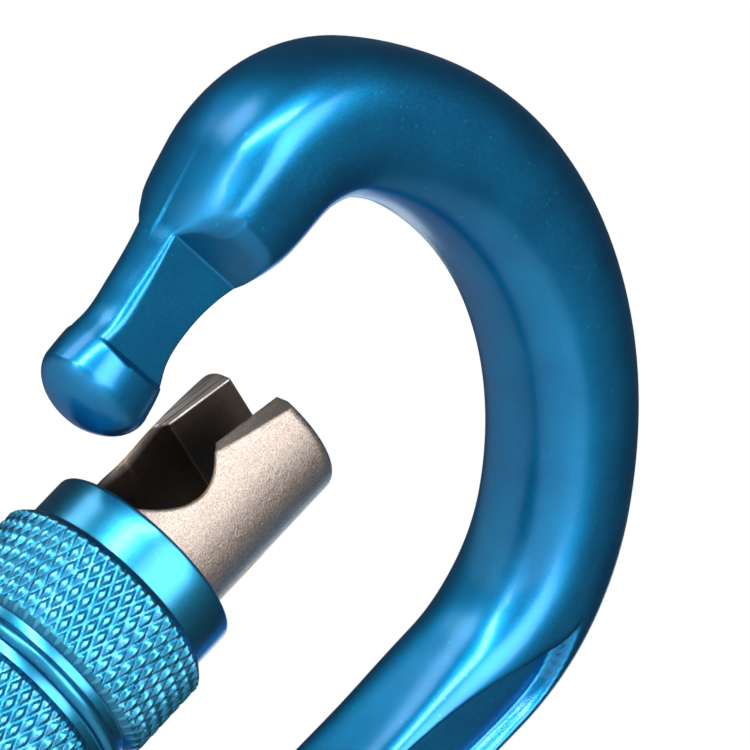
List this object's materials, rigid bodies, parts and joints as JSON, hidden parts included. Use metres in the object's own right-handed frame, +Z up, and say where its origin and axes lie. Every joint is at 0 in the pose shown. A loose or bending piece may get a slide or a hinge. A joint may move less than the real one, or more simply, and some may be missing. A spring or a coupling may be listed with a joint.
{
  "type": "locking carabiner",
  "caption": "Screw-gate carabiner: forged pear-shaped frame with a sprung swinging gate and a knurled sleeve that screws up over the nose to lock it.",
  "frame": {"origin": "rope seat: the lowest line of the bar's inner side at the crown of the bow", "axes": "+Z up along the load line towards the bow, carabiner in the XZ plane with its front facing -Y, gate on the -X side and spine on +X"},
  "size_m": [0.0523, 0.0158, 0.1081],
  "materials": {
    "anodised_frame": "satin anodised blue",
    "anodised_sleeve": "bright anodised blue",
    "nickelled_gate": "bead-blasted, warm grey",
    "steel": "bright steel"
  },
  "bodies": {
    "frame": {"forged_body": "anodised_frame", "hinge_rivet": "steel"},
    "gate": {"gate": "nickelled_gate", "gate_spring": "steel"},
    "plunger": {"spring_plunger": "steel"},
    "sleeve_ring": {"snap_ring": "steel"},
    "sleeve": {"locking_sleeve": "anodised_sleeve"}
  },
  "joints": [
    {"name": "gate_pivot", "type": "hinge", "parent": "frame", "child": "gate", "pos_m": [-0.0094, 0, -0.07413], "axis": [0, 1, 0], "range_deg": [-13.6, 11.4], "stiffness_Nm_per_rad": 0.3, "springref_deg": -57.3},
    {"name": "plunger_slide", "type": "slide", "parent": "gate", "child": "plunger", "axis": [0.0958, 0, 0.9954], "range_m": [-0.00042, 0.00036], "deforming": ["gate_spring"]},
    {"name": "sleeve_travel", "type": "slide", "parent": "gate", "child": "sleeve_ring", "axis": [0.0958, 0, 0.9954], "range_m": [0, 0.01]},
    {"name": "sleeve_turn", "type": "hinge", "parent": "sleeve_ring", "child": "sleeve", "pos_m": [-0.00652, 0, -0.04427], "axis": [0.0958, 0, 0.9954], "range_deg": [0, 1200]}
  ],
  "couplings": [
    {"joint": "plunger_slide", "follows": "gate_pivot", "m_per_rad": 0.0017434},
    {"joint": "sleeve_travel", "follows": "sleeve_turn", "m_per_rad": 0.00047745}
  ]
}
